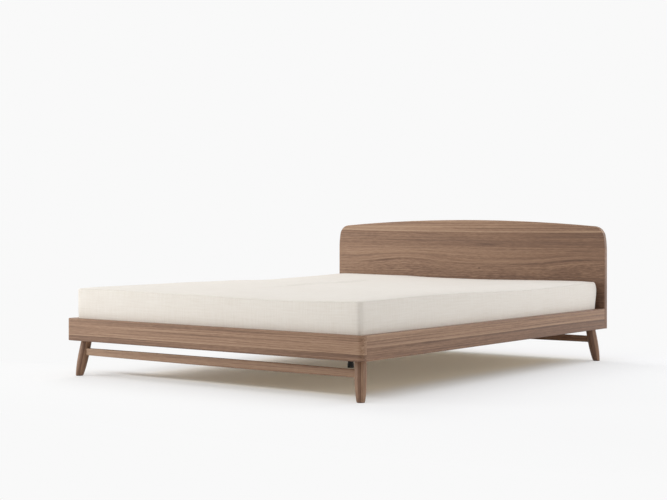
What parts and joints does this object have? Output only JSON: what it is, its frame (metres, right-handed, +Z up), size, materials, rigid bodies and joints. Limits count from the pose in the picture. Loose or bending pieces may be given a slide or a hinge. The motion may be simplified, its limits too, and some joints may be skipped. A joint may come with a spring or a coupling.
{
  "type": "platform bed",
  "caption": "Low walnut platform bed with an arched slab headboard, splayed turned legs, end stretchers, slatted base with a centre support leg, and a linen-covered mattress.",
  "frame": {"origin": "on the floor, under the middle of the bed's outer box", "axes": "+X across the bed to the right seen from the foot, +Y from the foot to the headboard, +Z up"},
  "size_m": [1.67, 2.119, 0.711],
  "materials": {
    "walnut": "satin oiled",
    "softwood": "planed",
    "dowel_wood": "fluted beech",
    "glide_plastic": "matte",
    "black_steel": "powder coated",
    "black_plastic": "matte",
    "black_bolt": "black oxide",
    "zinc_steel": "zinc plated",
    "linen": "natural linen weave",
    "foam": "open-cell foam",
    "soft_foam": "open-cell foam"
  },
  "bodies": {
    "bed_frame": {"headboard": "walnut", "foot_rail": "walnut", "side_rail_left": "walnut", "side_rail_right": "walnut", "stretcher_foot": "walnut", "stretcher_head": "walnut", "leg_front_left": "walnut", "leg_front_right": "walnut", "leg_rear_left": "walnut", "leg_rear_right": "walnut", "corner_block_front_left": "softwood", "corner_block_front_right": "softwood", "corner_block_rear_left": "softwood", "corner_block_rear_right": "softwood", "ledger_left": "softwood", "ledger_right": "softwood", "cleat_foot": "softwood", "cleat_head": "softwood", "centre_beam": "softwood", "slat_01": "softwood", "slat_02": "softwood", "slat_03": "softwood", "slat_04": "softwood", "slat_05": "softwood", "slat_06": "softwood", "slat_07": "softwood", "slat_08": "softwood", "slat_09": "softwood", "slat_10": "softwood", "slat_11": "softwood", "slat_12": "softwood", "slat_13": "softwood", "slat_14": "softwood", "leg_glide_front_left": "glide_plastic", "leg_glide_front_right": "glide_plastic", "leg_glide_rear_left": "glide_plastic", "leg_glide_rear_right": "glide_plastic", "centre_leg_tube": "black_steel", "centre_leg_plate": "black_steel", "beam_hanger_foot": "black_steel", "beam_hanger_head": "black_steel", "centre_leg_insert": "black_plastic", "headboard_bolts": "black_bolt", "headboard_threaded_inserts": "zinc_steel", "rail_dowels": "dowel_wood", "corner_block_screws": "zinc_steel", "ledger_screws": "zinc_steel", "cleat_screws": "zinc_steel", "hanger_screws": "zinc_steel", "centre_plate_screws": "zinc_steel", "slat_screws": "zinc_steel"},
    "mattress": {"mattress_cover": "linen", "mattress_core": "foam", "mattress_comfort_layer": "soft_foam"},
    "levelling_pad": {"levelling_pad": "black_plastic"},
    "levelling_stem": {"levelling_stem": "zinc_steel"}
  },
  "joints": [
    {"name": "mattress_lift", "type": "slide", "parent": "bed_frame", "child": "mattress", "axis": [0, 0, 1], "range_m": [0, 0.3]},
    {"name": "levelling_pad_slide", "type": "slide", "parent": "bed_frame", "child": "levelling_pad", "axis": [0, 0, 1], "range_m": [0, 0.005]},
    {"name": "levelling_stem_turn", "type": "hinge", "parent": "levelling_pad", "child": "levelling_stem", "pos_m": [0, 0.001, 0.03], "axis": [0, 0, 1], "range_deg": [0, 1190]}
  ],
  "couplings": [
    {"joint": "levelling_pad_slide", "follows": "levelling_stem_turn", "m_per_rad": 0.00023873}
  ]
}
